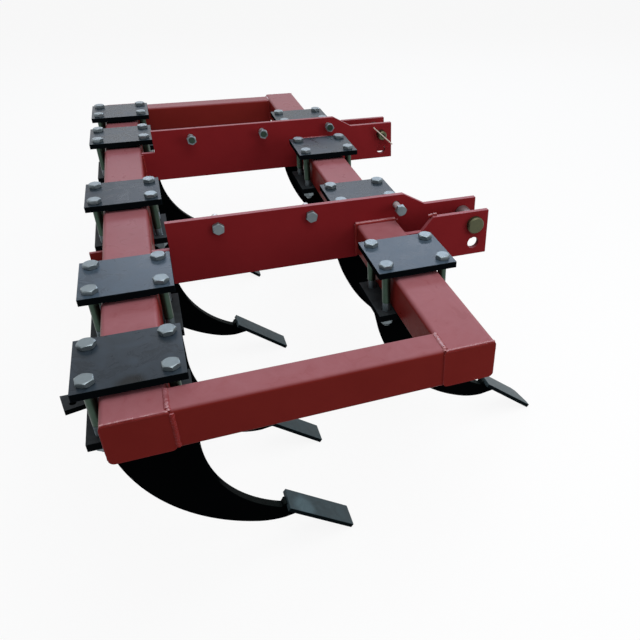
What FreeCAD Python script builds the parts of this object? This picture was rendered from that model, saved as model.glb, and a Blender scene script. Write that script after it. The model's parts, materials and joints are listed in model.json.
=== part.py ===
"""Mounted nine-tine cultivator: two cross beams, three-point hitch clevises, clamped C tines with welded points.

Machine frame used while drawing, in millimetres: +X to the machine's right, +Y forward, +Z up,
with y = 0 on the rear face of the rear beam and z = 0 on the top of both beams.
Every piece is then laid on the ground by one shared placement, so that it stands on its nine points.
"""
import FreeCAD, Part
import math
import os
import Sketcher

Vector = FreeCAD.Vector
doc = FreeCAD.newDocument("Cultivator")


# Driving dimensions
# name, value, what it is
DIMENSIONS = (
    ("beam_length", 1718, "length of each main beam across the machine"),
    ("beam_width", 100, "main beam, front to back"),
    ("beam_height", 80, "main beam, top to bottom"),
    ("beam_corner", 9, "outer corner radius of the main beams"),
    ("rear_beam_wall", 4, "wall of the rear beam"),
    ("front_beam_wall", 12.5, "wall of the front beam, which carries the hitch"),
    ("beam_spacing", 553, "rear face of the rear beam to rear face of the front beam"),
    ("cap_thickness", 6, "plates that close the beam ends"),
    ("side_beam_width", 60, "side beam, across the machine"),
    ("side_beam_wall", 5, "wall of the side beams"),
    ("side_beam_corner", 7, "outer corner radius of the side beams"),
    ("side_beam_inset", 2, "side beam set in from the beam ends"),
    ("side_beam_lowered_left", 5, "left side beam welded on lower than the main beams"),
    ("tab_place", 203, "tab behind the rear beam, from the machine's middle"),
    ("tab_thickness", 8, "tab behind the rear beam, across the machine"),
    ("tab_reach", 35, "tab beyond the rear beam's rear face"),
    ("tab_drop", 40, "top of the tab below the beam tops"),
    ("tab_height", 30, "height of the tab"),
    ("hitch_plate_thickness", 12, "long hitch plates and outer lugs"),
    ("hitch_plate_face", 325, "machine centre to the outer face of a long hitch plate"),
    ("hitch_plate_rise", 62, "top of the long hitch plates above the beams"),
    ("hitch_plate_skirt", 4, "hitch plates below the underside of the beams"),
    ("hitch_heel_length", 35, "low rear foot of a long hitch plate"),
    ("hitch_crest_reach", 18, "front beam to the front end of the raised top edge"),
    ("hitch_shoulder_reach", 74, "front beam to the foot of the sloping top edge"),
    ("clevis_rise", 30, "top of the clevis above the beams"),
    ("clevis_reach", 211, "front face of the front beam to the front of the clevis"),
    ("clevis_gap", 63, "free width between hitch plate and lug"),
    ("lug_shoulder_reach", 66, "front beam to the rear top corner of the lug"),
    ("lug_foot_reach", 38, "front beam to the foot of the lug's sloping edge"),
    ("lug_foot_drop", 4, "low rear edge of the lug below the beam tops"),
    ("lug_lowered_left", 5, "left lug welded on lower than its hitch plate"),
    ("lug_lowered_right", 2, "right lug welded on lower than its hitch plate"),
    ("web_thickness", 10, "web that closes the clevis at the rear"),
    ("web_reach", 60, "front beam to the web"),
    ("web_drop", 40, "top of the web below the beam tops"),
    ("pin_diameter", 28, "lower link pin"),
    ("pin_clearance", 1, "hole for the lower link pin, wider than the pin"),
    ("pin_setback", 36, "front of the clevis back to the pin axis"),
    ("pin_drop", 5, "pin axis below the beam tops"),
    ("spare_hole_spacing", 50, "pin axis down to the spare hole"),
    ("pin_head_diameter", 42, "round head of the pin"),
    ("pin_head_length", 12, "thickness of the pin's head"),
    ("pin_tail_length", 22, "pin beyond the long hitch plate"),
    ("pin_chamfer", 3, "chamfer on the pin's tail and head"),
    ("pin_dimple_diameter", 13, "dimple in the end of the pin's tail"),
    ("pin_dimple_depth", 4, "depth of that dimple"),
    ("bush_diameter", 36.6, "bush on the pin, inside the clevis"),
    ("bush_play", 1.5, "bush short of each wall of the clevis"),
    ("clip_wire", 4, "wire of the spring clip through the pin's tail"),
    ("clip_clearance", 1, "clip's hole, wider than its wire"),
    ("clip_offset", 12, "long hitch plate to the clip's straight leg"),
    ("clip_leg_back", 40, "straight leg behind the pin axis"),
    ("clip_leg_front", 44, "bend of the clip ahead of the pin axis"),
    ("clip_flare_radius", 16, "bend that lifts the clip's free end"),
    ("clip_flare_angle", 40, "angle of that bend, in degrees"),
    ("clip_slope_left", 43.6, "left clip, nose down, in degrees"),
    ("clip_slope_right", 12, "right clip, nose down, in degrees"),
    ("mast_hole_rise", 38, "mast bolt holes above the beam tops"),
    ("mast_hole_setback", 18, "front end of the raised top edge back to the front mast bolt"),
    ("mast_hole_pitch", 206, "spacing of the mast bolts"),
    ("mast_bolt_diameter", 16, "mast bolt thread"),
    ("mast_bolt_clearance", 2, "hole for a mast bolt, wider than the bolt"),
    ("mast_bolt_flats", 24, "mast bolt head and nut across flats"),
    ("mast_bolt_head", 10, "height of a mast bolt's head"),
    ("mast_nut_height", 13, "height of the nut on a left mast bolt"),
    ("mast_nut_recess", 1.5, "end of a left mast bolt inside its nut"),
    ("mast_bolt_length", 60, "mast bolt under its head"),
    ("mast_bolt_1_out", 0, "right plate, rear bolt: head clear of the plate's outer face"),
    ("mast_bolt_2_out", 0, "right plate, middle bolt"),
    ("mast_bolt_3_out", 29, "right plate, front bolt"),
    ("mast_bolt_4_out", 34, "left plate, rear bolt: nut's end clear of the plate's inner face"),
    ("mast_bolt_5_out", 34, "left plate, middle bolt"),
    ("mast_bolt_6_out", 26, "left plate, front bolt"),
    ("curved_gap", 0.3, "gap kept between curved faces of neighbouring pieces"),
    ("clamp_width", 147, "clamp plates along the beam"),
    ("clamp_overhang", 35, "clamp plates past each side of the beam"),
    ("top_plate_thickness", 14, "upper clamp plate"),
    ("packer_thickness", 8, "packer between the upper clamp plate and the beam"),
    ("packer_inset", 12, "packer set in from the sides of the plate and of the beam"),
    ("saddle_thickness", 15, "lower clamp plate under the beam"),
    ("clamp_bolt_diameter", 18, "clamp bolt thread"),
    ("clamp_bolt_clearance", 2, "holes in the clamp plates, wider than the bolts"),
    ("clamp_bolt_flats", 27, "clamp bolt head and nut across flats"),
    ("clamp_bolt_head", 9.5, "height of a clamp bolt's head"),
    ("clamp_nut_height", 15, "height of a clamp bolt's nut"),
    ("clamp_bolt_tail", 8, "thread below the nut"),
    ("clamp_bolt_edge", 23.5, "clamp bolt from the end of its plate, along the beam"),
    ("clamp_bolt_gap", 3.5, "beam side to the side of a clamp bolt"),
    ("tine_thickness", 18, "plate of the tine shank"),
    ("tine_top_rear", 27, "rear top corner of the shank behind the beam"),
    ("shank_back", 22.1, "rearmost part of the shank's rear curve behind the beam"),
    ("shank_throat", 28.2, "straight front edge of the shank ahead of the beam"),
    ("back_arc_radius", 355.6, "radius of the shank's rear curve"),
    ("back_arc_start", 70, "start of the rear curve below the top of the shank"),
    ("back_foot_back", 57, "end of the rear curve behind the heel"),
    ("back_foot_rise", 10.9, "end of the rear curve above the heel"),
    ("front_arc_radius", 233.5, "radius of the shank's front curve"),
    ("front_foot_back", 4.3, "end of the front curve behind the rear end of the seat"),
    ("front_foot_drop", 6.6, "end of the front curve below the rear end of the seat"),
    ("heel_back", 42.6, "lowest part of the heel behind the shank's toe"),
    ("heel_below", 5.8, "lowest part of the heel below the toe"),
    ("heel_radius", 160, "radius under the heel"),
    ("seat_start", 6, "start of the seat behind the rear end of the point"),
    ("seat_end", 49, "toe of the shank from the rear end of the point"),
    ("front_row_lift", 23, "how much shorter the shanks of the front row are"),
    ("point_angle", 39.3, "slope of the point, in degrees"),
    ("point_y", 273, "rear top edge of the point, forward of the beam's rear face"),
    ("point_drop", 406, "rear top edge of the point below the beam tops"),
    ("point_length", 170, "length of the point"),
    ("point_width", 56, "width of the point"),
    ("point_thickness", 10, "thickness of the point"),
    ("ear_thickness", 10, "small ear behind one of the saddle plates"),
    ("ear_reach", 44.5, "rear corner of the ear behind its plate"),
    ("ear_skew", 9.5, "how far the ear's other rear corner is from square"),
    ("ear_inset", 5.5, "outer side of the ear in from the end of its plate"),
    ("ear_width", 44, "width of the ear"),
    ("ear_overlap", 5, "root of the ear inside its plate"),
    ("ear_hole_diameter", 11, "hole in the ear"),
    ("ear_hole_inset", 22, "ear's hole ahead of its rear corner"),
    ("across_rear_1", -699, "tines of the rear row from the machine's middle"),
    ("across_rear_2", -441, "second tine"),
    ("across_rear_3", 17, "third tine"),
    ("across_rear_4", 446, "fourth tine"),
    ("across_rear_5", 727, "fifth tine"),
    ("across_front_1", -483, "tines of the front row from the machine's middle"),
    ("across_front_2", -186, "second tine"),
    ("across_front_3", 189, "third tine"),
    ("across_front_4", 530, "fourth tine"),
)


class Size:
    """A dimension with its value and the expression that gives it from the sheet."""

    def __init__(self, value, text):
        self.value = float(value)
        self.text = text

    @staticmethod
    def of(other):
        return other if isinstance(other, Size) else Size(other, repr(float(other)))

    def joined(self, other, value, sign):
        return Size(value, "(%s %s %s)" % (self.text, sign, Size.of(other).text))

    def __add__(self, other):
        return self.joined(other, self.value + Size.of(other).value, "+")

    def __sub__(self, other):
        return self.joined(other, self.value - Size.of(other).value, "-")

    def __mul__(self, other):
        return self.joined(other, self.value * Size.of(other).value, "*")

    def __truediv__(self, other):
        return self.joined(other, self.value / Size.of(other).value, "/")

    def __neg__(self):
        return Size(-self.value, "(0 - %s)" % self.text)

    def root(self):
        return Size(math.sqrt(self.value), "sqrt(%s)" % self.text)

    def sine(self):
        return Size(math.sin(math.radians(self.value)), "sin(%s)" % self.text)

    def cosine(self):
        return Size(math.cos(math.radians(self.value)), "cos(%s)" % self.text)

    def slope(self):
        return Size(math.degrees(math.atan(self.value)), "atan(%s)" % self.text)

    def degrees(self):
        return Size(self.value, "(%s * 1 deg)" % self.text)


sheet = doc.addObject("Spreadsheet::Sheet", "Sizes")
size = {}
for row, (name, value, note) in enumerate(DIMENSIONS, start=1):
    sheet.set("A%d" % row, name)
    sheet.set("B%d" % row, str(value))
    sheet.set("C%d" % row, note)
    sheet.setAlias("B%d" % row, name)
    size[name] = Size(value, "Sizes." + name)
doc.recompute()

ZERO = Size(0, "0")
parts = {}
# label: where the piece's own origin lies in the machine frame; (0, 0, 0) where none is given
places = {}
# label: how far the piece is turned nose down in the machine, in degrees
slopes = {}


# Drawing helpers
def new_body(label):
    """A body with its own origin planes, kept under its label."""
    body = doc.addObject("PartDesign::Body", label)
    body.Label = label
    parts[label] = body
    return body


def new_sketch(body, name, role, offset=None):
    """A sketch on one of the body's own planes, moved along the plane's normal by offset."""
    sketch = body.newObject("Sketcher::SketchObject", body.Label + "_" + name)
    plane = [item for item in body.Origin.OriginFeatures if item.Role == role][0]
    sketch.AttachmentSupport = [(plane, "")]
    sketch.MapMode = "FlatFace"
    if offset is not None:
        sketch.setExpression("AttachmentOffset.Base.z", offset.text)
    return sketch


def bind(target, path, amount):
    target.setExpression(path, amount.text)


def constrain(sketch, kind, *places, amount):
    """Adds one dimension to the sketch and ties it to the sheet."""
    index = sketch.addConstraint(Sketcher.Constraint(kind, *places, amount.value))
    bind(sketch, "Constraints[%d]" % index, amount)


def arc_through(start, end, radius, turn):
    """The arc from start to end with this radius; turn is +1 for anticlockwise, -1 for clockwise."""
    chord = end - start
    across = Vector(-chord.y, chord.x, 0)
    across.normalize()
    rise = math.sqrt(max(radius ** 2 - (chord.Length / 2) ** 2, 0))
    centre = (start + end) * 0.5 + across * rise * turn
    first = math.atan2(start.y - centre.y, start.x - centre.x)
    last = math.atan2(end.y - centre.y, end.x - centre.x)
    if turn < 0:
        first, last = last, first
    return Part.ArcOfCircle(Part.Circle(centre, Vector(0, 0, 1), radius), first, last)


def outline(sketch, corners, arcs=None, closed=True):
    """A line through the corners, each a pair of sizes, that ends where it began unless closed is false.

    arcs maps the number of a side to (radius, turn); the other sides are straight.
    """
    arcs = arcs or {}
    count = len(corners)
    sides = count if closed else count - 1
    points = [Vector(across.value, up.value, 0) for across, up in corners]
    ends = []
    for number in range(sides):
        start = points[number]
        end = points[(number + 1) % count]
        if number in arcs:
            radius, turn = arcs[number]
            edge = sketch.addGeometry(arc_through(start, end, radius.value, turn), False)
            ends.append((edge, 1, 2) if turn > 0 else (edge, 2, 1))
        else:
            edge = sketch.addGeometry(Part.LineSegment(start, end), False)
            ends.append((edge, 1, 2))
    for number in range(sides if closed else sides - 1):
        edge, _, last = ends[number]
        following, first, _ = ends[(number + 1) % count]
        sketch.addConstraint(Sketcher.Constraint("Coincident", edge, last, following, first))
    for (edge, first, _), (across, up) in zip(ends, corners):
        constrain(sketch, "DistanceX", -1, 1, edge, first, amount=across)
        constrain(sketch, "DistanceY", -1, 1, edge, first, amount=up)
    if not closed:
        edge, _, last = ends[-1]
        across, up = corners[-1]
        constrain(sketch, "DistanceX", -1, 1, edge, last, amount=across)
        constrain(sketch, "DistanceY", -1, 1, edge, last, amount=up)
    for number, (radius, _) in arcs.items():
        constrain(sketch, "Radius", ends[number][0], amount=radius)


def circle(sketch, across, up, diameter):
    """A full circle placed and sized from the sheet."""
    centre = Vector(across.value, up.value, 0)
    edge = sketch.addGeometry(Part.Circle(centre, Vector(0, 0, 1), diameter.value / 2), False)
    constrain(sketch, "DistanceX", -1, 1, edge, 3, amount=across)
    constrain(sketch, "DistanceY", -1, 1, edge, 3, amount=up)
    constrain(sketch, "Diameter", edge, amount=diameter)


def rounded_rectangle(sketch, left, bottom, width, height, corner):
    """A rectangle with four equal round corners."""
    right = left + width
    top = bottom + height
    corners = (
        (left + corner, bottom), (right - corner, bottom),
        (right, bottom + corner), (right, top - corner),
        (right - corner, top), (left + corner, top),
        (left, top - corner), (left, bottom + corner),
    )
    outline(sketch, corners, {side: (corner, 1) for side in (1, 3, 5, 7)})


def pad(body, sketch, length, symmetric=False, backwards=False):
    """Material grown from the sketch along its normal."""
    feature = body.newObject("PartDesign::Pad", sketch.Name + "_pad")
    feature.Profile = sketch
    feature.SideType = "Symmetric" if symmetric else "One side"
    feature.Reversed = backwards
    bind(feature, "Length", length)
    body.Tip = feature
    return feature


def pocket_through(body, sketch):
    """The sketch cut right through the body, both ways."""
    before = body.Shape.Volume
    feature = body.newObject("PartDesign::Pocket", sketch.Name + "_cut")
    feature.Profile = sketch
    feature.Type = "ThroughAll"
    feature.SideType = "Symmetric"
    body.Tip = feature
    doc.recompute()
    if not body.Shape.Volume < before:
        raise RuntimeError("%s cuts nothing" % feature.Name)
    return feature


# Main beams: hollow rounded box sections, closed by flat plates
def box_section(label, role, left, bottom, width, height, wall, corner, length, start=None):
    """A hollow box section; wall and corner give its round inner and outer edges."""
    body = new_body(label)
    sketch = new_sketch(body, "section", role, start)
    rounded_rectangle(sketch, left, bottom, width, height, corner)
    inner_corner = Size(max(corner.value - wall.value, 1.0), "max(%s - %s; 1)" % (corner.text, wall.text))
    rounded_rectangle(
        sketch, left + wall, bottom + wall, width - wall * 2, height - wall * 2, inner_corner,
    )
    pad(body, sketch, length, symmetric=start is None)
    return body


tube_length = size["beam_length"] - size["cap_thickness"] * 2
# label, rear face, wall
BEAM_ROWS = (
    ("rear_beam", ZERO, size["rear_beam_wall"]),
    ("front_beam", size["beam_spacing"], size["front_beam_wall"]),
)
for label, rear_face, wall in BEAM_ROWS:
    box_section(
        label, "YZ_Plane", rear_face, -size["beam_height"], size["beam_width"], size["beam_height"],
        wall, size["beam_corner"], tube_length,
    )

# A small plate that stands out behind the rear beam, rooted in its wall
rear_tube = parts["rear_beam"]
tab_sketch = new_sketch(rear_tube, "tab", "YZ_Plane", size["tab_place"] - size["tab_thickness"] / 2)
tab_root = size["rear_beam_wall"] / 2
outline(tab_sketch, (
    (-size["tab_reach"], -(size["tab_drop"] + size["tab_height"])),
    (tab_root, -(size["tab_drop"] + size["tab_height"])),
    (tab_root, -size["tab_drop"]),
    (-size["tab_reach"], -size["tab_drop"]),
))
pad(rear_tube, tab_sketch, size["tab_thickness"])

for label, rear_face, _ in BEAM_ROWS:
    for side, sign in (("left", -1), ("right", 1)):
        body = new_body("%s_cap_%s" % (label, side))
        sketch = new_sketch(body, "outline", "YZ_Plane", tube_length / 2 * sign)
        rounded_rectangle(
            sketch, rear_face, -size["beam_height"], size["beam_width"], size["beam_height"], size["beam_corner"],
        )
        pad(body, sketch, size["cap_thickness"], backwards=sign < 0)

side_beam_length = size["beam_spacing"] - size["beam_width"]
for side, sign in (("left", -1), ("right", 1)):
    middle = (size["beam_length"] / 2 - size["side_beam_inset"] - size["side_beam_width"] / 2) * sign
    body = new_body("side_beam_" + side)
    sketch = new_sketch(body, "section", "XZ_Plane", -size["beam_width"])
    left = middle - size["side_beam_width"] / 2
    low = -size["beam_height"] - (size["side_beam_lowered_left"] if side == "left" else 0)
    wall = size["side_beam_wall"]
    rounded_rectangle(
        sketch, left, low, size["side_beam_width"], size["beam_height"], size["side_beam_corner"],
    )
    rounded_rectangle(
        sketch, left + wall, low + wall,
        size["side_beam_width"] - wall * 2, size["beam_height"] - wall * 2, size["side_beam_corner"] - wall,
    )
    pad(body, sketch, side_beam_length, backwards=True)


# Three-point hitch: long plates, outer lugs, webs, pins and their clips on each side
front_rear_face = size["beam_spacing"]
front_face = size["beam_spacing"] + size["beam_width"]
skirt_level = -(size["beam_height"] + size["hitch_plate_skirt"])
pin_y = front_face + size["clevis_reach"] - size["pin_setback"]
pin_z = -size["pin_drop"]
spare_z = pin_z - size["spare_hole_spacing"]
crest_front = front_face + size["hitch_crest_reach"]
last_mast_hole = crest_front - size["mast_hole_setback"]
mast_holes = [last_mast_hole - size["mast_hole_pitch"] * number for number in (2, 1, 0)]
pin_hole = size["pin_diameter"] + size["pin_clearance"]
mast_hole = size["mast_bolt_diameter"] + size["mast_bolt_clearance"]
lug_inner_face = size["hitch_plate_face"] + size["clevis_gap"]

for side, sign in (("left", -1), ("right", 1)):
    plate = new_body("hitch_plate_" + side)
    sketch = new_sketch(plate, "outline", "YZ_Plane", size["hitch_plate_face"] * sign)
    outline(sketch, (
        (size["beam_width"], skirt_level),
        (front_rear_face, skirt_level),
        (front_rear_face, ZERO),
        (front_face, ZERO),
        (front_face, skirt_level),
        (front_face + size["clevis_reach"], skirt_level),
        (front_face + size["clevis_reach"], size["clevis_rise"]),
        (front_face + size["hitch_shoulder_reach"], size["clevis_rise"]),
        (crest_front, size["hitch_plate_rise"]),
        (size["beam_width"] + size["hitch_heel_length"], size["hitch_plate_rise"]),
        (size["beam_width"] + size["hitch_heel_length"], ZERO),
        (size["beam_width"], ZERO),
    ))
    circle(sketch, pin_y, pin_z, pin_hole)
    circle(sketch, pin_y, spare_z, pin_hole)
    for hole_y in mast_holes:
        circle(sketch, hole_y, size["mast_hole_rise"], mast_hole)
    pad(plate, sketch, size["hitch_plate_thickness"], backwards=sign > 0)

    lug = new_body("hitch_lug_" + side)
    sketch = new_sketch(lug, "outline", "YZ_Plane", lug_inner_face * sign)
    lowered = size["lug_lowered_" + side]
    lug_top = size["clevis_rise"] - lowered
    lug_foot = -size["lug_foot_drop"] - lowered
    outline(sketch, (
        (front_face, skirt_level - lowered),
        (front_face + size["clevis_reach"], skirt_level - lowered),
        (front_face + size["clevis_reach"], lug_top),
        (front_face + size["lug_shoulder_reach"], lug_top),
        (front_face + size["lug_foot_reach"], lug_foot),
        (front_face, lug_foot),
    ))
    circle(sketch, pin_y, pin_z, pin_hole)
    circle(sketch, pin_y, spare_z, pin_hole)
    pad(lug, sketch, size["hitch_plate_thickness"], backwards=sign < 0)

    web = new_body("hitch_web_" + side)
    sketch = new_sketch(web, "outline", "YZ_Plane", size["hitch_plate_face"] * sign)
    web_rear = front_face + size["web_reach"]
    outline(sketch, (
        (web_rear, skirt_level),
        (web_rear + size["web_thickness"], skirt_level),
        (web_rear + size["web_thickness"], -size["web_drop"]),
        (web_rear, -size["web_drop"]),
    ))
    pad(web, sketch, size["clevis_gap"], backwards=sign < 0)

# The pin and its clip are drawn about their own axis, from the outer face of the lug inwards
pin_inner = size["clevis_gap"] + size["hitch_plate_thickness"] * 2
pin_end = pin_inner + size["pin_tail_length"]
clip_place = pin_inner + size["clip_offset"]
clip_bend = (size["pin_tail_length"] - size["clip_offset"] + size["clip_wire"] / 2 + size["curved_gap"]) / 2
for side, sign in (("left", -1), ("right", 1)):
    body = new_body("hitch_pin_" + side)
    sketch = new_sketch(body, "half", "XY_Plane")
    shank_radius = size["pin_diameter"] / 2
    head_radius = size["pin_head_diameter"] / 2
    chamfer = size["pin_chamfer"]
    outward = [
        (size["pin_head_length"], ZERO),
        (size["pin_head_length"], head_radius - chamfer),
        (size["pin_head_length"] - chamfer, head_radius),
        (ZERO, head_radius),
        (ZERO, shank_radius),
        (chamfer - pin_end, shank_radius),
        (-pin_end, shank_radius - chamfer),
        (-pin_end, size["pin_dimple_diameter"] / 2),
        (size["pin_dimple_depth"] - pin_end, ZERO),
    ]
    outline(sketch, [(along * sign, out) for along, out in outward])
    turned = body.newObject("PartDesign::Revolution", body.Label + "_turned")
    turned.Profile = sketch
    turned.ReferenceAxis = (sketch, ["H_Axis"])
    turned.Angle = 360
    body.Tip = turned
    doc.recompute()
    sketch = new_sketch(body, "clip_hole", "XZ_Plane")
    circle(sketch, -clip_place * sign, ZERO, size["clip_wire"] + size["clip_clearance"])
    pocket_through(body, sketch)

    # The clip: one leg through the pin, the other over the pin's end, with a bend between them
    clip = new_body("pin_clip_" + side)
    spine = new_sketch(clip, "spine", "XY_Plane")
    bend_start = size["clip_leg_front"] - clip_bend
    flare = size["clip_flare_radius"]
    outer_leg = clip_bend * 2
    flare_start = -(size["clip_leg_back"] - flare * size["clip_flare_angle"].sine())
    outline(spine, [(along * -sign, forward) for along, forward in (
        (ZERO, -size["clip_leg_back"]),
        (ZERO, bend_start),
        (clip_bend, size["clip_leg_front"]),
        (outer_leg, bend_start),
        (outer_leg, flare_start),
        (outer_leg + flare - flare * size["clip_flare_angle"].cosine(), -size["clip_leg_back"]),
    )], {1: (clip_bend, sign), 2: (clip_bend, sign), 4: (flare, -sign)}, closed=False)
    wire = new_sketch(clip, "wire", "XZ_Plane", size["clip_leg_back"])
    circle(wire, ZERO, ZERO, size["clip_wire"])
    doc.recompute()
    pipe = clip.newObject("PartDesign::AdditivePipe", clip.Label + "_pipe")
    pipe.Profile = wire
    pipe.Spine = (spine, [])
    clip.Tip = pipe
    outer = (lug_inner_face + size["hitch_plate_thickness"]) * sign
    places["hitch_pin_" + side] = (outer, pin_y, pin_z)
    places["pin_clip_" + side] = (outer - clip_place * sign, pin_y, pin_z)
    for kind in ("hitch_pin_", "pin_clip_"):
        slopes[kind + side] = size["clip_slope_" + side]


# Clamps: an upper plate, a saddle plate under the beam, and the C tine with its point
bolt_along = size["clamp_width"] / 2 - size["clamp_bolt_edge"]
clamp_hole = size["clamp_bolt_diameter"] + size["clamp_bolt_clearance"]
bolt_side = size["clamp_bolt_gap"] + size["clamp_bolt_diameter"] / 2
bolt_rows = (-bolt_side, size["beam_width"] + bolt_side)


def clamp_plate(label, bottom, thickness):
    """A flat plate across the beam with a bolt hole near each corner."""
    body = new_body(label)
    sketch = new_sketch(body, "outline", "XY_Plane", bottom)
    half = size["clamp_width"] / 2
    outline(sketch, (
        (-half, -size["clamp_overhang"]),
        (half, -size["clamp_overhang"]),
        (half, size["beam_width"] + size["clamp_overhang"]),
        (-half, size["beam_width"] + size["clamp_overhang"]),
    ))
    for along in (-bolt_along, bolt_along):
        for across in bolt_rows:
            circle(sketch, along, across, clamp_hole)
    pad(body, sketch, thickness)
    return body


def add_packer(body):
    """The packer that carries the upper plate, smaller than the plate and narrower than the beam."""
    sketch = new_sketch(body, "packer", "XY_Plane")
    half = size["clamp_width"] / 2 - size["packer_inset"]
    outline(sketch, (
        (-half, size["packer_inset"]),
        (half, size["packer_inset"]),
        (half, size["beam_width"] - size["packer_inset"]),
        (-half, size["beam_width"] - size["packer_inset"]),
    ))
    pad(body, sketch, size["packer_thickness"])


ear_rear = size["clamp_overhang"] + size["ear_reach"]


def add_ear(body):
    """A small holed ear behind a saddle plate, a little askew and flush with the plate's top."""
    sketch = new_sketch(body, "ear", "XY_Plane", -(size["beam_height"] + size["ear_thickness"]))
    outer = size["clamp_width"] / 2 - size["ear_inset"]
    inner = size["ear_width"] - outer
    root = size["ear_overlap"] - size["clamp_overhang"]
    outline(sketch, (
        (-outer, -ear_rear),
        (inner, size["ear_skew"] - ear_rear),
        (inner - size["ear_skew"], root),
        (-outer, root),
    ))
    circle(sketch, inner - size["ear_width"] / 2 + size["ear_skew"] / 2, size["ear_hole_inset"] - ear_rear,
           size["ear_hole_diameter"])
    pad(body, sketch, size["ear_thickness"])


point_cosine = size["point_angle"].cosine()
point_sine = size["point_angle"].sine()


def on_point(along, below, lift):
    """A place beside the point, along it from its rear top edge and square below its top face."""
    across = size["point_y"] + point_cosine * along - point_sine * below
    up = lift - size["point_drop"] - point_sine * along - point_cosine * below
    return across, up


def tangent_centre(edge, radius, foot):
    """Centre of the curve that runs upright along edge and ends at foot, below and ahead of it."""
    centre = edge + radius
    ahead = centre - foot[0]
    return centre, foot[1] + (radius * radius - ahead * ahead).root()


def tine(label, lift):
    """The flat C shank, cut from plate, with a sloping seat that the point is welded to."""
    body = new_body(label)
    sketch = new_sketch(body, "outline", "YZ_Plane")
    top = -(size["beam_height"] + size["saddle_thickness"])
    toe = on_point(size["seat_end"], size["point_thickness"], lift)
    seat = on_point(-size["seat_start"], size["point_thickness"], lift)
    heel = (toe[0] - size["heel_back"], toe[1] - size["heel_below"])
    back_foot = (heel[0] - size["back_foot_back"], heel[1] + size["back_foot_rise"])
    front_foot = (seat[0] - size["front_foot_back"], seat[1] - size["front_foot_drop"])
    # Each long curve has an upright tangent at the shank's edge and passes through its foot
    back_centre = tangent_centre(-size["shank_back"], size["back_arc_radius"], back_foot)
    throat = size["beam_width"] + size["shank_throat"]
    front_centre = tangent_centre(throat, size["front_arc_radius"], front_foot)
    back_start = top - size["back_arc_start"]
    fall = back_centre[1] - back_start
    squared = size["back_arc_radius"] * size["back_arc_radius"]
    outline(sketch, (
        (-size["tine_top_rear"], top),
        (back_centre[0] - (squared - fall * fall).root(), back_start),
        back_foot,
        heel,
        toe,
        seat,
        front_foot,
        (throat, front_centre[1]),
        (throat, top),
    ), {1: (size["back_arc_radius"], 1), 2: (size["heel_radius"], 1), 6: (size["front_arc_radius"], -1)})
    pad(body, sketch, size["tine_thickness"], symmetric=True)


def point(label, lift):
    """The chisel point: a flat bar that slopes down and forward from the shank's seat."""
    body = new_body(label)
    sketch = new_sketch(body, "side", "YZ_Plane")
    outline(sketch, (
        on_point(ZERO, ZERO, lift),
        on_point(ZERO, size["point_thickness"], lift),
        on_point(size["point_length"], size["point_thickness"], lift),
        on_point(size["point_length"], ZERO, lift),
    ))
    pad(body, sketch, size["point_width"], symmetric=True)


# name, beam's rear face, lift of the shank, ear on the saddle plate
TINES = (
    ("rear_1", ZERO, ZERO, False),
    ("rear_2", ZERO, ZERO, False),
    ("rear_3", ZERO, ZERO, False),
    ("rear_4", ZERO, ZERO, False),
    ("rear_5", ZERO, ZERO, True),
    ("front_1", size["beam_spacing"], size["front_row_lift"], False),
    ("front_2", size["beam_spacing"], size["front_row_lift"], False),
    ("front_3", size["beam_spacing"], size["front_row_lift"], False),
    ("front_4", size["beam_spacing"], size["front_row_lift"], False),
)
for name, rear_face, lift, eared in TINES:
    upper = clamp_plate("clamp_plate_" + name, size["packer_thickness"], size["top_plate_thickness"])
    add_packer(upper)
    saddle_bottom = -size["beam_height"] - size["saddle_thickness"]
    saddle = clamp_plate("saddle_plate_" + name, saddle_bottom, size["saddle_thickness"])
    if eared:
        add_ear(saddle)
    tine("tine_" + name, lift)
    point("point_" + name, lift)
    for kind in ("clamp_plate_", "saddle_plate_", "tine_", "point_"):
        places[kind + name] = (size["across_" + name], rear_face, ZERO)


# Fasteners: one bolt of each kind is modelled, and every other one is a link to it
def hexagon(name, flats, height, bottom):
    prism = doc.addObject("Part::Prism", name)
    prism.Polygon = 6
    bind(prism, "Circumradius", flats / 3 ** 0.5)
    bind(prism, "Height", height)
    bind(prism, "Placement.Base.z", bottom)
    return prism


def rod(name, diameter, height, bottom):
    cylinder = doc.addObject("Part::Cylinder", name)
    bind(cylinder, "Radius", diameter / 2)
    bind(cylinder, "Height", height)
    bind(cylinder, "Placement.Base.z", bottom)
    return cylinder


def fused(name, shapes):
    whole = doc.addObject("Part::MultiFuse", name)
    whole.Shapes = shapes
    return whole


def linked_set(label, pattern, spots, turn):
    """Equal pieces that don't touch, one link at each spot, gathered in one sub-part."""
    links = []
    for number, spot in enumerate(spots, start=1):
        link = doc.addObject("App::Link", "%s_%d" % (label, number))
        link.LinkedObject = pattern
        link.Placement = FreeCAD.Placement(Vector(), turn)
        for axis, amount in zip("xyz", spot):
            bind(link, "Placement.Base." + axis, amount)
        links.append(link)
    gathered = doc.addObject("Part::Compound", label)
    gathered.Label = label
    gathered.Links = links
    parts[label] = gathered


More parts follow.
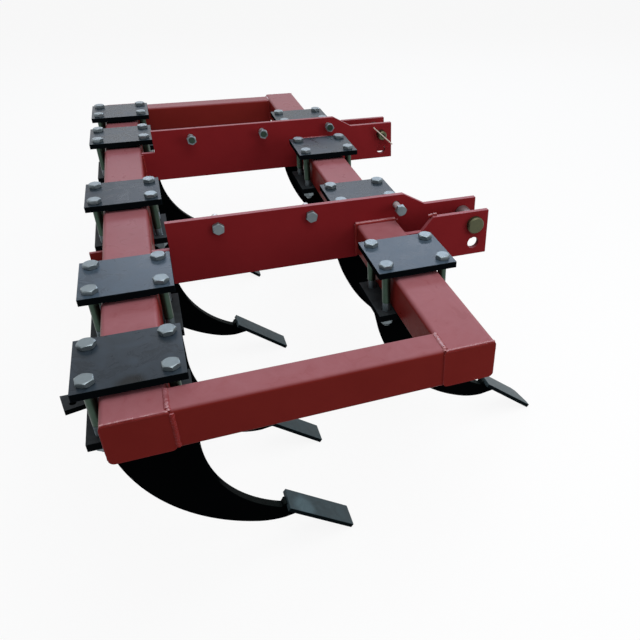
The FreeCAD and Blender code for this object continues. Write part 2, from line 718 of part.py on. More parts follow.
head_level = size["packer_thickness"] + size["top_plate_thickness"]
plate_stack = size["beam_height"] + size["saddle_thickness"]
nut_bottom = -plate_stack - size["clamp_nut_height"]
tail_bottom = nut_bottom - size["clamp_bolt_tail"]
clamp_bolt = fused("clamp_bolt", [
    hexagon("clamp_bolt_head", size["clamp_bolt_flats"], size["clamp_bolt_head"], head_level),
    rod("clamp_bolt_rod", size["clamp_bolt_diameter"], head_level - tail_bottom, tail_bottom),
    hexagon("clamp_bolt_nut", size["clamp_bolt_flats"], size["clamp_nut_height"], nut_bottom),
])
mast_bolt = fused("mast_bolt", [
    hexagon("mast_bolt_head", size["mast_bolt_flats"], size["mast_bolt_head"], ZERO),
    rod("mast_bolt_rod", size["mast_bolt_diameter"], size["mast_bolt_length"], -size["mast_bolt_length"]),
])

nutted_mast_bolt = fused("nutted_mast_bolt", [
    hexagon("nutted_bolt_head", size["mast_bolt_flats"], size["mast_bolt_head"], size["mast_bolt_length"]),
    rod("nutted_bolt_rod", size["mast_bolt_diameter"], size["mast_bolt_length"], ZERO),
    hexagon("nutted_bolt_nut", size["mast_bolt_flats"], size["mast_nut_height"], -size["mast_nut_recess"]),
])

# A bush lies on each link pin between the walls of its clevis
bush_length = size["clevis_gap"] - size["bush_play"] * 2
bush = doc.addObject("Part::Cut", "link_bush")
bush.Base = rod("link_bush_outside", size["bush_diameter"], bush_length, -bush_length / 2)
bush.Tool = rod("link_bush_bore", size["pin_diameter"] + size["curved_gap"] * 2, bush_length, -bush_length / 2)

upright = FreeCAD.Rotation()
for row in ("rear", "front"):
    spots = []
    for name, rear_face, _, _ in TINES:
        if name.startswith(row):
            for along in (-bolt_along, bolt_along):
                for side in bolt_rows:
                    spots.append((size["across_" + name] + along, rear_face + side, ZERO))
    linked_set("clamp_bolts_" + row, clamp_bolt, spots, upright)

towards_right = FreeCAD.Rotation(Vector(0, 1, 0), 90)
towards_left = FreeCAD.Rotation(Vector(0, 1, 0), -90)
clevis_middle = size["hitch_plate_face"] + size["clevis_gap"] / 2
linked_set("link_bushes", bush, [(clevis_middle * sign, pin_y, pin_z) for sign in (-1, 1)], towards_right)

# The mast bolts hang loose in their holes, so they lie lower than the holes' centres
slack = (mast_hole - size["mast_bolt_diameter"]) / 2 - size["curved_gap"]
left_inner_face = size["hitch_plate_thickness"] - size["hitch_plate_face"]
# side, bolt, way its head points, face it starts from, how far it ends clear of that face
MAST_BOLT_ROWS = (
    ("right", mast_bolt, towards_right, size["hitch_plate_face"],
     ("mast_bolt_1_out", "mast_bolt_2_out", "mast_bolt_3_out")),
    ("left", nutted_mast_bolt, towards_left, left_inner_face - size["mast_nut_recess"],
     ("mast_bolt_4_out", "mast_bolt_5_out", "mast_bolt_6_out")),
)
for side, pattern, turn, entry, stand_offs in MAST_BOLT_ROWS:
    spots = [
        (entry + size[stand_off], hole_y, size["mast_hole_rise"] - slack)
        for hole_y, stand_off in zip(mast_holes, stand_offs)
    ]
    linked_set("mast_bolts_" + side, pattern, spots, turn)


# Standing on the ground: the front shanks are shorter, so the frame leans forward until all nine points touch
lean = (size["front_row_lift"] / size["beam_spacing"]).slope()
lean_cosine = lean.cosine()
lean_sine = lean.sine()


def laid(along, up):
    """A place in the leaning machine, before it is moved over the origin."""
    return along * lean_cosine + up * lean_sine, up * lean_cosine - along * lean_sine


_, lowest = laid(*on_point(size["point_length"], size["point_thickness"], ZERO))
rearmost, _ = laid(-ear_rear, -(size["beam_height"] + size["ear_thickness"]))
tip_along, tip_up = on_point(size["point_length"], ZERO, size["front_row_lift"])
foremost, _ = laid(tip_along + size["beam_spacing"], tip_up)
middle_along = (rearmost + foremost) / 2
for label, item in parts.items():
    across, along, up = places.get(label, (ZERO, ZERO, ZERO))
    laid_along, laid_up = laid(along, up)
    item.Placement = FreeCAD.Placement(Vector(), FreeCAD.Rotation(Vector(-1, 0, 0), 1))
    turned_down = lean + slopes[label].degrees() if label in slopes else lean
    bind(item, "Placement.Rotation.Angle", turned_down)
    bind(item, "Placement.Base.x", across)
    bind(item, "Placement.Base.y", laid_along - middle_along)
    bind(item, "Placement.Base.z", laid_up - lowest)
doc.recompute()


# Checks and files
for item in doc.Objects:
    if "Invalid" in item.State or "Error" in item.State:
        raise RuntimeError("%s failed: %s" % (item.Label, item.State))
for label, item in parts.items():
    if item.Shape.isNull() or not item.Shape.isValid():
        raise RuntimeError("%s has no valid shape" % label)

os.makedirs("parts", exist_ok=True)
for label, item in parts.items():
    item.Shape.exportStep("parts/%s.step" % label)

volume = 0.0
moment = Vector()
for item in parts.values():
    for solid in item.Shape.Solids:
        volume += solid.Volume
        moment += solid.CenterOfMass * solid.Volume
balance = moment * (1 / volume)
tip_along, tip_up = on_point(size["point_length"], size["point_thickness"], ZERO)
rear_foot, _ = laid(tip_along, tip_up)
print("pieces", len(parts), "steel", round(volume * 7.85e-6, 1), "kg")
print("balance ahead of the rear points", round(balance.y - (rear_foot - middle_along).value, 1), "mm")
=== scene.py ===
"""Looks of the mounted tine cultivator: paint, plating, weld beads, bolts and the studio around it."""
import json
import logging
import math
from contextlib import contextmanager
from dataclasses import dataclass, field, replace
from enum import Enum
from typing import Iterator, Sequence

import bpy
from mathutils import Euler, Matrix, Vector


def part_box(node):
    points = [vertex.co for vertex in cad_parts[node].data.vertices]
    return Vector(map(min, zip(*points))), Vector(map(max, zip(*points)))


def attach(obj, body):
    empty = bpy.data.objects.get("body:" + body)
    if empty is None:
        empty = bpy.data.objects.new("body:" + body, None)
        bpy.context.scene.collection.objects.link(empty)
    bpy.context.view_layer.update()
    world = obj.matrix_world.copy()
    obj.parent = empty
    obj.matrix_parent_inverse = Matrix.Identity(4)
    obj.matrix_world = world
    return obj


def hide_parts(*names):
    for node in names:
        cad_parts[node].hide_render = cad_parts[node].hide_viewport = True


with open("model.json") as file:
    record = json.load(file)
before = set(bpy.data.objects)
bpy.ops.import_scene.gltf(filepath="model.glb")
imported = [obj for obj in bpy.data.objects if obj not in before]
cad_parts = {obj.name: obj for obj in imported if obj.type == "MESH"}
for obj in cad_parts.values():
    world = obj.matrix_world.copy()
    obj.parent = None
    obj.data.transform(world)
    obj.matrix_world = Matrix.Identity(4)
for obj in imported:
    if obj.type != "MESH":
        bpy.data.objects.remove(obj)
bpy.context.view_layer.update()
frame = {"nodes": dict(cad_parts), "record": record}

LOG = logging.getLogger("cultivator")
MM = 0.001

Point = tuple[float, float, float]
# start, end and half width of a weld seam on the drawing
Seam = tuple[Point, Point, float]


class Zone(Enum):
    """The kinds of surface that carry a finish of their own, with the record's slot for each."""

    FRAME = "frame_paint"
    CLAMP = "clamp_paint"
    TINE = "tine_paint"
    CHISEL = "point_steel"
    ZINC = "zinc"
    YELLOW = "yellow_zinc"


# Small tools


def linear(code: str) -> tuple[float, float, float, float]:
    """Turns an sRGB hex colour into Blender's linear colour.

    Args:
        code: six hex digits after a hash sign.

    Returns:
        The linear red, green and blue, with an alpha of one.
    """
    shades = []
    for start in (1, 3, 5):
        value = int(code[start:start + 2], 16) / 255
        shades.append(value / 12.92 if value <= 0.04045 else ((value + 0.055) / 1.055) ** 2.4)
    return (shades[0], shades[1], shades[2], 1.0)


def add(tree: bpy.types.NodeTree, kind: str, settings: dict | None = None,
        sockets: dict | None = None) -> bpy.types.Node:
    """Adds one node with its settings and its sockets' values or links.

    Args:
        tree: the node tree that gets the node.
        kind: Blender's name of the node type.
        settings: properties of the node itself.
        sockets: input name or number to a value, or to the output socket that feeds it.

    Returns:
        The new node.
    """
    made = tree.nodes.new(kind)
    for key, value in (settings or {}).items():
        setattr(made, key, value)
    for key, value in (sockets or {}).items():
        if isinstance(value, bpy.types.NodeSocket):
            tree.links.new(value, made.inputs[key])
        else:
            made.inputs[key].default_value = value
    return made


def ranged(tree: bpy.types.NodeTree, value: bpy.types.NodeSocket, start: float = 0.0, end: float = 1.0,
           low: float = 0.0, high: float = 1.0, kind: str = "LINEAR") -> bpy.types.NodeSocket:
    """Maps a value from one range to another.

    Args:
        tree: the node tree.
        value: the output socket to map.
        start: the value that gives low.
        end: the value that gives high.
        low: the result at the start.
        high: the result at the end.
        kind: Blender's name of the way between them.

    Returns:
        The output socket with the result.
    """
    return add(tree, "ShaderNodeMapRange", {"interpolation_type": kind}, {
        "Value": value, "From Min": start, "From Max": end, "To Min": low, "To Max": high}).outputs["Result"]


def noise(tree: bpy.types.NodeTree, place: bpy.types.NodeSocket, size_mm: float, detail: float,
          **more: float) -> bpy.types.NodeSocket:
    """Adds a noise pattern whose features are this many millimetres wide.

    Args:
        tree: the node tree.
        place: the socket with the coordinates.
        size_mm: width of the features.
        detail: the noise's detail.
        more: further inputs of the noise by name.

    Returns:
        The output socket with the pattern.
    """
    return add(tree, "ShaderNodeTexNoise", sockets={
        "Vector": place, "Scale": 1 / (size_mm * MM), "Detail": detail, **more}).outputs["Fac"]


def blend(tree: bpy.types.NodeTree, factor: bpy.types.NodeSocket, first: object,
          second: object) -> bpy.types.NodeSocket:
    """Mixes two colours by a factor and hands back the result's socket."""
    return add(tree, "ShaderNodeMix", {"data_type": "RGBA"}, {
        "Factor": factor, "A": first, "B": second}).outputs["Result"]


def product(tree: bpy.types.NodeTree, first: bpy.types.NodeSocket,
            second: bpy.types.NodeSocket | float) -> bpy.types.NodeSocket:
    """Multiplies two values and hands back the result's socket."""
    return add(tree, "ShaderNodeMath", {"operation": "MULTIPLY"}, {0: first, 1: second}).outputs[0]


def only(obj: bpy.types.Object) -> bpy.types.Object:
    """Selects this object alone and makes it the active one."""
    bpy.ops.object.select_all(action="DESELECT")
    obj.select_set(True)
    bpy.context.view_layer.objects.active = obj
    return obj


def fresh(name: str) -> bpy.types.Object:
    """Names the primitive that was added last and hands it back."""
    obj = bpy.context.active_object
    obj.name = name
    obj.data.name = name
    return obj


@contextmanager
def editing(obj: bpy.types.Object, everything: bool = True) -> Iterator[None]:
    """Edit mode on one object.

    Args:
        obj: the mesh object to edit.
        everything: whether all of it starts selected.
    """
    only(obj)
    bpy.ops.object.mode_set(mode="EDIT")
    if everything:
        bpy.ops.mesh.select_all(action="SELECT")
    yield
    bpy.ops.object.mode_set(mode="OBJECT")


def modify(obj: bpy.types.Object, kind: str, **settings: object) -> None:
    """Adds a modifier with these settings and applies it at once.

    Args:
        obj: the mesh object.
        kind: Blender's name of the modifier type.
        settings: the modifier's properties.
    """
    only(obj)
    modifier = obj.modifiers.new(kind.lower(), kind)
    for key, value in settings.items():
        setattr(modifier, key, value)
    bpy.ops.object.modifier_apply(modifier=modifier.name)


def lay(obj: bpy.types.Object, matrix: Matrix) -> bpy.types.Object:
    """Moves the mesh itself by the matrix, so that the object stays at the origin."""
    only(obj)
    obj.matrix_world = matrix @ obj.matrix_world
    bpy.ops.object.transform_apply(location=True, rotation=True, scale=True)
    return obj


def copied(obj: bpy.types.Object, name: str) -> bpy.types.Object:
    """Copies an object with a mesh of its own."""
    twin = obj.copy()
    twin.data = obj.data.copy()
    twin.name = name
    twin.data.name = name
    bpy.context.scene.collection.objects.link(twin)
    return twin


def joined(parts: Sequence[bpy.types.Object], name: str) -> bpy.types.Object:
    """Joins the objects into one.

    Args:
        parts: the mesh objects; the first one stays.
        name: the name of the whole.

    Returns:
        The joined object.
    """
    bpy.ops.object.select_all(action="DESELECT")
    for part in parts:
        part.select_set(True)
    bpy.context.view_layer.objects.active = parts[0]
    if len(parts) > 1:
        bpy.ops.object.join()
    return fresh(name)


def dress(obj: bpy.types.Object, *materials: bpy.types.Material) -> None:
    """Gives the object these materials in this order, in place of its own."""
    obj.data.materials.clear()
    for material in materials:
        obj.data.materials.append(material)


def smooth(obj: bpy.types.Object, degrees: float = 35.0) -> None:
    """Shades the object smooth except across edges sharper than the angle."""
    only(obj)
    bpy.ops.object.shade_smooth_by_angle(angle=math.radians(degrees))


# The machine's own frame


@dataclass(frozen=True)
class Machine:
    """Where the machine's drawing lies in the frame: it leans forward until its points touch the ground.

    Places on the drawing are in millimetres: x to the right, y forward of the rear beam's rear face, z
    above the beams' tops.
    """

    # how much shorter the front row's shanks are, which makes the lean
    lift: float = 23.0
    beam_spacing: float = 553.0
    beam_width: float = 100.0
    beam_height: float = 80.0
    half_length: float = 859.0
    side_beam_width: float = 60.0
    # how much lower the left side beam is welded on than the main beams
    left_beam_lowered: float = 5.0
    # underside of the saddle plates
    saddle_bottom: float = -95.0
    # outer faces of the hitch plates and inner faces of their lugs, from the middle, and their thickness
    plate_face: float = 325.0
    lug_face: float = 388.0
    plate_thickness: float = 12.0

    @property
    def lean(self) -> float:
        """The lean in radians."""
        return math.atan2(self.lift, self.beam_spacing)

    @property
    def front_face(self) -> float:
        """The front face of the front beam."""
        return self.beam_spacing + self.beam_width

    @property
    def stand(self) -> Matrix:
        """The matrix from the drawing's millimetres to the frame's metres, found from one end cap."""
        turn = Matrix.Rotation(-self.lean, 4, "X")
        low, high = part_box("rear_beam_cap_right")
        centre = turn @ Vector((0, self.beam_width / 2, -self.beam_height / 2))
        middle = (low + high) / 2 / MM
        shift = Vector((0, middle.y - centre.y, middle.z - centre.z))
        return Matrix.Scale(MM, 4) @ Matrix.Translation(shift) @ turn


@dataclass(frozen=True)
class Clamp:
    """One clamp with its tine: its place along the beam, its beam's rear face and the lift of its shank."""

    name: str
    across: float
    rear_face: float
    lift: float


MACHINE = Machine()
CLAMPS = (
    Clamp("rear_1", -699, 0, 0),
    Clamp("rear_2", -441, 0, 0),
    Clamp("rear_3", 17, 0, 0),
    Clamp("rear_4", 446, 0, 0),
    Clamp("rear_5", 727, 0, 0),
    Clamp("front_1", -483, 553, 23),
    Clamp("front_2", -186, 553, 23),
    Clamp("front_3", 189, 553, 23),
    Clamp("front_4", 530, 553, 23),
)
# rear top edge of a chisel point on the drawing, from its beam's rear face, and its slope
POINT_AHEAD = 273.0
POINT_DROP = 406.0
POINT_SLOPE = math.radians(39.3)
POINT_LENGTH = 170.0
POINT_WIDTH = 56.0
SHANK_THICKNESS = 18.0


# Finishes


def blank(name: str) -> tuple[bpy.types.Material, bpy.types.NodeTree, bpy.types.Node]:
    """A new material with its tree and its shader node."""
    material = bpy.data.materials.new(name)
    material.use_nodes = True
    tree = material.node_tree
    return material, tree, tree.nodes["Principled BSDF"]


# a normal's height from where a face starts to count as looking up to where it fully does
UPWARD = (0.35, 0.95)
# the values between which nearly all of a noise pattern lies
MOST_NOISE = (0.3, 0.7)
# how far a rounded normal and the true one agree on a whole face and on a rubbed edge
RUBBED = (0.985, 0.9)
# width of the rounding at edges and of the chips along them
EDGE_MM = 2.0
CHIP_MM = 7.0
# share of a patch's reach that is fully patched
PATCH_CORE = 0.4


@dataclass(frozen=True)
class Paint:
    """Sprayed enamel on steel, with orange peel, rubbed edges and a painted sheen: a pale colour mixed into
    what faces up.
    """

    name: str
    colour: str
    second: str
    painted_sheen: str
    edge: str
    roughness: float = 0.3
    # how much smoother and how much rougher its smears are
    unevenness: tuple[float, float] = (-0.05, 0.08)
    # specular level of a level face, and the share of it that upright faces have
    shine: float = 0.2
    side_share: float = 0.2
    # share of painted sheen on a level face, and how much of it comes and goes in patches
    painted_sheen_share: float = 0.2
    patchy: float = 0.1
    worn: float = 0.3
    peel_mm: float = 2.2
    peel_depth_mm: float = 0.04
    dent_mm: float = 60.0
    dent_depth_mm: float = 0.0
    mottle_mm: float = 90.0
    smear_mm: float = 45.0
    # a patch on the drawing: its middle, its reach in millimetres and how many times the painted sheen it
    # carries
    patch: tuple[Point, float, float] | None = None

    def material(self) -> bpy.types.Material:
        """Builds the paint's node tree.

        Returns:
            The material.
        """
        material, tree, shader = blank(self.name)
        place = add(tree, "ShaderNodeTexCoord").outputs["Object"]
        mottle = noise(tree, place, self.mottle_mm, 4.0, Roughness=0.6)
        base = blend(tree, mottle, linear(self.colour), linear(self.second))
        # what faces up gets a painted sheen, a pale colour mixed in, uneven in curved smears
        facing = add(tree, "ShaderNodeNewGeometry").outputs["Normal"]
        split = add(tree, "ShaderNodeSeparateXYZ", sockets={"Vector": facing})
        smears = noise(tree, place, self.smear_mm, 5.0, Roughness=0.55, Distortion=1.6)
        upward = ranged(tree, split.outputs["Z"], *UPWARD)
        amount = ranged(tree, smears, *MOST_NOISE, self.painted_sheen_share - self.patchy, self.painted_sheen_share + self.patchy)
        painted_sheen_mask = product(tree, upward, amount)
        if self.patch:
            middle, reach, share = self.patch
            away = add(tree, "ShaderNodeVectorMath", {"operation": "DISTANCE"}, {
                0: place, 1: MACHINE.stand @ Vector(middle)})
            painted_sheen_mask = product(tree, painted_sheen_mask, ranged(
                tree, away.outputs["Value"], reach * PATCH_CORE * MM, reach * MM, share, 1.0, "SMOOTHSTEP"))
        # mixes the painted sheen into the base colour
        with_painted_sheen = blend(tree, painted_sheen_mask, base, linear(self.painted_sheen))
        # edges are rubbed lighter where a rounded normal differs from the true one
        rounded = add(tree, "ShaderNodeBevel", {"samples": 6}, {"Radius": EDGE_MM * MM})
        along = add(tree, "ShaderNodeVectorMath", {"operation": "DOT_PRODUCT"}, {
            0: rounded.outputs["Normal"], 1: facing})
        bared = ranged(tree, along.outputs["Value"], *RUBBED, 0.0, self.worn)
        broken = product(tree, bared, noise(tree, place, CHIP_MM, 3.0))
        tree.links.new(blend(tree, broken, with_painted_sheen, linear(self.edge)), shader.inputs["Base Color"])
        sheen = ranged(tree, smears, *MOST_NOISE, *(self.roughness + step for step in self.unevenness))
        tree.links.new(sheen, shader.inputs["Roughness"])
        # upright faces get a lower specular level than the tops, a painted shade that dims their reflections
        gloss = ranged(tree, upward, low=self.shine * self.side_share, high=self.shine)
        tree.links.new(gloss, shader.inputs["Specular IOR Level"])
        fine = add(tree, "ShaderNodeBump", sockets={
            "Height": noise(tree, place, self.peel_mm, 2.0), "Strength": 1.0,
            "Distance": self.peel_depth_mm * MM})
        coarse = add(tree, "ShaderNodeBump", sockets={
            "Height": noise(tree, place, self.dent_mm, 2.0), "Strength": 1.0,
            "Distance": self.dent_depth_mm * MM, "Normal": fine.outputs["Normal"]})
        tree.links.new(coarse.outputs["Normal"], shader.inputs["Normal"])
        return material


@dataclass(frozen=True)
class Plating:
    """Zinc plating on steel: a grey, green or yellow metal with cloudy patches and fine scratches."""

    name: str
    colour: str
    second: str
    roughness: float = 0.34
    metallic: float = 0.85
    # how much smoother and how much rougher its clouds are
    unevenness: tuple[float, float] = (-0.1, 0.12)
    cloud_mm: float = 14.0
    grain_mm: float = 1.2
    grain_depth_mm: float = 0.1

    def material(self) -> bpy.types.Material:
        """Builds the plating's node tree.

        Returns:
            The material.
        """
        material, tree, shader = blank(self.name)
        place = add(tree, "ShaderNodeTexCoord").outputs["Object"]
        cloud = noise(tree, place, self.cloud_mm, 5.0, Roughness=0.65)
        base = blend(tree, cloud, linear(self.colour), linear(self.second))
        tree.links.new(base, shader.inputs["Base Color"])
        sheen = ranged(tree, cloud, 0.0, 1.0, *(self.roughness + step for step in self.unevenness))
        tree.links.new(sheen, shader.inputs["Roughness"])
        shader.inputs["Metallic"].default_value = self.metallic
        bump = add(tree, "ShaderNodeBump", sockets={
            "Height": noise(tree, place, self.grain_mm, 3.0), "Strength": 0.2,
            "Distance": self.grain_depth_mm * MM})
        tree.links.new(bump.outputs["Normal"], shader.inputs["Normal"])
        return material


# The frame's gloss enamel, a deep maroon, with a pinkish painted sheen on its tops where light skims them
FRAME_ENAMEL = Paint("maroon_enamel", "#822a26", "#742320", "#cfa3b0", "#b8686e", shine=0.05, painted_sheen_share=0.26,
                     patchy=0.03, worn=0.35)
# The same enamel on the flat hitch plates, in a redder tone that is painted light: the cool light those
# plates catch
PLATE_ENAMEL = Paint("maroon_enamel_on_plates", "#8a262a", "#781f23", "#cfa3b0", "#b8686e", shine=0.05,
                     painted_sheen_share=0.26, patchy=0.03, worn=0.35, mottle_mm=160.0)
# The same enamel run glossy over the weld beads, lighter than the frame's as painted light on the beads'
# faces, with a painted sheen on top
WELD_ENAMEL = Paint("maroon_enamel_on_beads", "#902c29", "#7e2422", "#cfa3b0", "#c07478", roughness=0.2,
                    shine=0.8, side_share=0.05, painted_sheen_share=0.3, patchy=0.08, worn=0.0, dent_mm=6.0,
                    dent_depth_mm=0.5)
# The clamp plates' satin enamel, a blue-black with a bluish painted sheen on its tops, uneven in smears,
# left out over a stain on one plate
CLAMP_ENAMEL = Paint("blue_black_enamel", "#0b1013", "#080c0f", "#809ab4", "#3e4a52", roughness=0.28,
                     shine=0.16, side_share=0.0, painted_sheen_share=0.08, patchy=0.03, worn=0.35, peel_depth_mm=0.004,
                     patch=((800.0, 52.0, 22.0), 30.0, 0.0))
# Two plates with a stronger painted sheen on their tops than the others, and one that was wiped clean
STRONG_PAINTED_SHEEN_ENAMEL = replace(CLAMP_ENAMEL, name="dusty_blue_black_enamel", painted_sheen_share=0.22, patchy=0.05, patch=None)
CLEAN_ENAMEL = replace(CLAMP_ENAMEL, name="clean_blue_black_enamel", shine=0.09, patch=None)
# The lower plates' enamel, duller, and greyer from a painted sheen on top
SADDLE_ENAMEL = Paint("dull_black_enamel", "#101416", "#0c0f11", "#828c93", "#3e4a52", roughness=0.5,
                      shine=0.06, side_share=0.0, painted_sheen_share=0.13, patchy=0.05, worn=0.35, peel_depth_mm=0.015)
# The shanks' black enamel over rolled plate, with a grey-green painted sheen on top
TINE_ENAMEL = Paint("black_shank_enamel", "#060809", "#040506", "#3c4a47", "#26302e", roughness=0.42,
                    shine=0.03, side_share=0.0, painted_sheen_share=0.1, patchy=0.08, worn=0.5, dent_mm=25.0,
                    dent_depth_mm=0.25)
# The chisel points' grey-black coat over forged steel, with a blue-grey painted sheen on top and a painted
# highlight at a dent on one point
CHISEL_COAT = Paint("grey_chisel_coat", "#10171a", "#0c1214", "#74909a", "#56666b", roughness=0.34,
                    shine=0.16, side_share=0.0, painted_sheen_share=0.3, patchy=0.07, worn=0.5, dent_mm=30.0,
                    dent_depth_mm=0.5, patch=((738.0, 305.0, -430.0), 36.0, 2.2))
# Bright zinc on the bolts' heads and nuts
BRIGHT_ZINC = Plating("bright_zinc", "#7c878c", "#687378", metallic=0.7)
# Paler zinc on the shanks of the mast bolts
PALE_ZINC = Plating("pale_zinc", "#cfcccf", "#bcb9bd", 0.3, metallic=0.3)
# Green passivated zinc on the bolts' shanks
GREEN_ZINC = Plating("green_passivated_zinc", "#3f5246", "#2d3e34", 0.42)
# Yellow passivated zinc on the link pins
YELLOW_ZINC = Plating("yellow_zinc", "#575840", "#45483a", 0.4)
# Pale spring wire of the clips
CLIP_WIRE = Plating("pale_spring_wire", "#b9aaa2", "#a4958d")
# Bare turned steel of the bushes
BUSH_STEEL = Plating("turned_bush_steel", "#8c7c7e", "#75686a", 0.45)


class Finishes:
    """The finished materials, made once and shared by the pieces."""

    def __init__(self) -> None:
        """Makes every material."""
        self.green = GREEN_ZINC.material()
        self.pale = PALE_ZINC.material()
        self.beads = WELD_ENAMEL.material()
        self.by_zone = {
            Zone.FRAME: FRAME_ENAMEL.material(),
            Zone.CLAMP: CLAMP_ENAMEL.material(),
            Zone.TINE: TINE_ENAMEL.material(),
            Zone.CHISEL: CHISEL_COAT.material(),
            Zone.ZINC: BRIGHT_ZINC.material(),
            Zone.YELLOW: YELLOW_ZINC.material(),
        }
        self.by_start = {
            "hitch_plate": PLATE_ENAMEL.material(),
            "clamp_plate_rear_3": CLEAN_ENAMEL.material(),
            "clamp_plate_rear_4": STRONG_PAINTED_SHEEN_ENAMEL.material(),
            "saddle": SADDLE_ENAMEL.material(),
            "pin_clip": CLIP_WIRE.material(),
            "link_bushes": BUSH_STEEL.material(),
        }
        self.by_start["hitch_lug"] = self.by_start["hitch_plate"]
        self.by_start["clamp_plate_front_4"] = self.by_start["clamp_plate_rear_4"]

    def of(self, zone: Zone) -> bpy.types.Material:
        """The material of a zone."""
        return self.by_zone[zone]

    def of_node(self, node: str, zone: Zone) -> bpy.types.Material:
        """The material of a node: its own one by the start of its name, or else that of its zone."""
        own = [material for start, material in self.by_start.items() if node.startswith(start)]
        return own[0] if own else self.of(zone)


# Pieces


def keep(piece: bpy.types.Object, zone: Zone, *nodes: str) -> None:
    """Makes a finished piece ride on the machine and stand for the CAD nodes that it replaces.

    Args:
        piece: the finished object.
        zone: the kind of surface; not used.
        nodes: CAD nodes that it replaces, if any.
    """
    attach(piece, "root")
    if nodes:
        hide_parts(*nodes)
    LOG.info("made %s: %d faces", piece.name, len(piece.data.polygons))


@dataclass
class CutSteel:
    """Flame-cut and sawn steel: each CAD solid gets the small broken edges that catch the light."""

    finishes: Finishes
    edge_mm: float = 1.0
    # facets that differ by less than the first angle are joined; edges sharper than the second are broken
    flat_degrees: float = 0.4
    sharp_degrees: float = 30.0
    # start of the node's name: kind of surface
    kinds: dict[str, Zone] = field(default_factory=lambda: {
        "hitch_plate": Zone.FRAME, "hitch_lug": Zone.FRAME, "hitch_web": Zone.FRAME,
        "clamp_plate": Zone.CLAMP, "saddle_plate": Zone.CLAMP, "tine": Zone.TINE, "point": Zone.CHISEL,
    })
    # a point whose corner is worn off by cuts from along the far side to across the tip, in millimetres
    worn_point: str = "point_front_4"
    worn_cuts: tuple[tuple[float, float], ...] = ((26.0, 42.0), (39.0, 12.6))

    def wear(self, piece: bpy.types.Object) -> None:
        """Wears the far corner off one chisel point with two slanted cuts.

        Args:
            piece: the copy of that point, in the frame.
        """
        clamp = next(clamp for clamp in CLAMPS if self.worn_point.endswith(clamp.name))
        down = Vector((0, math.cos(POINT_SLOPE), -math.sin(POINT_SLOPE)))
        corner = down * POINT_LENGTH + Vector(
            (clamp.across - POINT_WIDTH / 2, clamp.rear_face + POINT_AHEAD, clamp.lift - POINT_DROP))
        turn = MACHINE.stand.to_3x3()
        for along, across in self.worn_cuts:
            start = MACHINE.stand @ (corner - down * along)
            outward = turn @ (down * across - Vector((1, 0, 0)) * along)
            with editing(piece):
                bpy.ops.mesh.bisect(plane_co=start, plane_no=outward.normalized(), use_fill=True,
                                    clear_outer=True)

    def broken_edges(self, node: str, zone: Zone) -> None:
        """Copies one CAD solid, joins its flat facets and rounds its sharp edges.

        Args:
            node: the CAD node.
            zone: the kind of surface.
        """
        piece = copied(frame["nodes"][node], node + "_cut")
        with editing(piece):
            bpy.ops.mesh.remove_doubles(threshold=0.005 * MM)
            bpy.ops.mesh.dissolve_limited(angle_limit=math.radians(self.flat_degrees))
        if node == self.worn_point:
            self.wear(piece)
        modify(piece, "BEVEL", width=self.edge_mm * MM, segments=2, limit_method="ANGLE",
               angle_limit=math.radians(self.sharp_degrees), use_clamp_overlap=True)
        smooth(piece)
        modify(piece, "WEIGHTED_NORMAL", keep_sharp=True, weight=90)
        dress(piece, self.finishes.of_node(node, zone))
        keep(piece, zone, node)

    def build(self) -> None:
        """Makes a piece for every plate, shank and point."""
        for node in list(frame["nodes"]):
            for start, zone in self.kinds.items():
                if node.startswith(start):
                    self.broken_edges(node, zone)


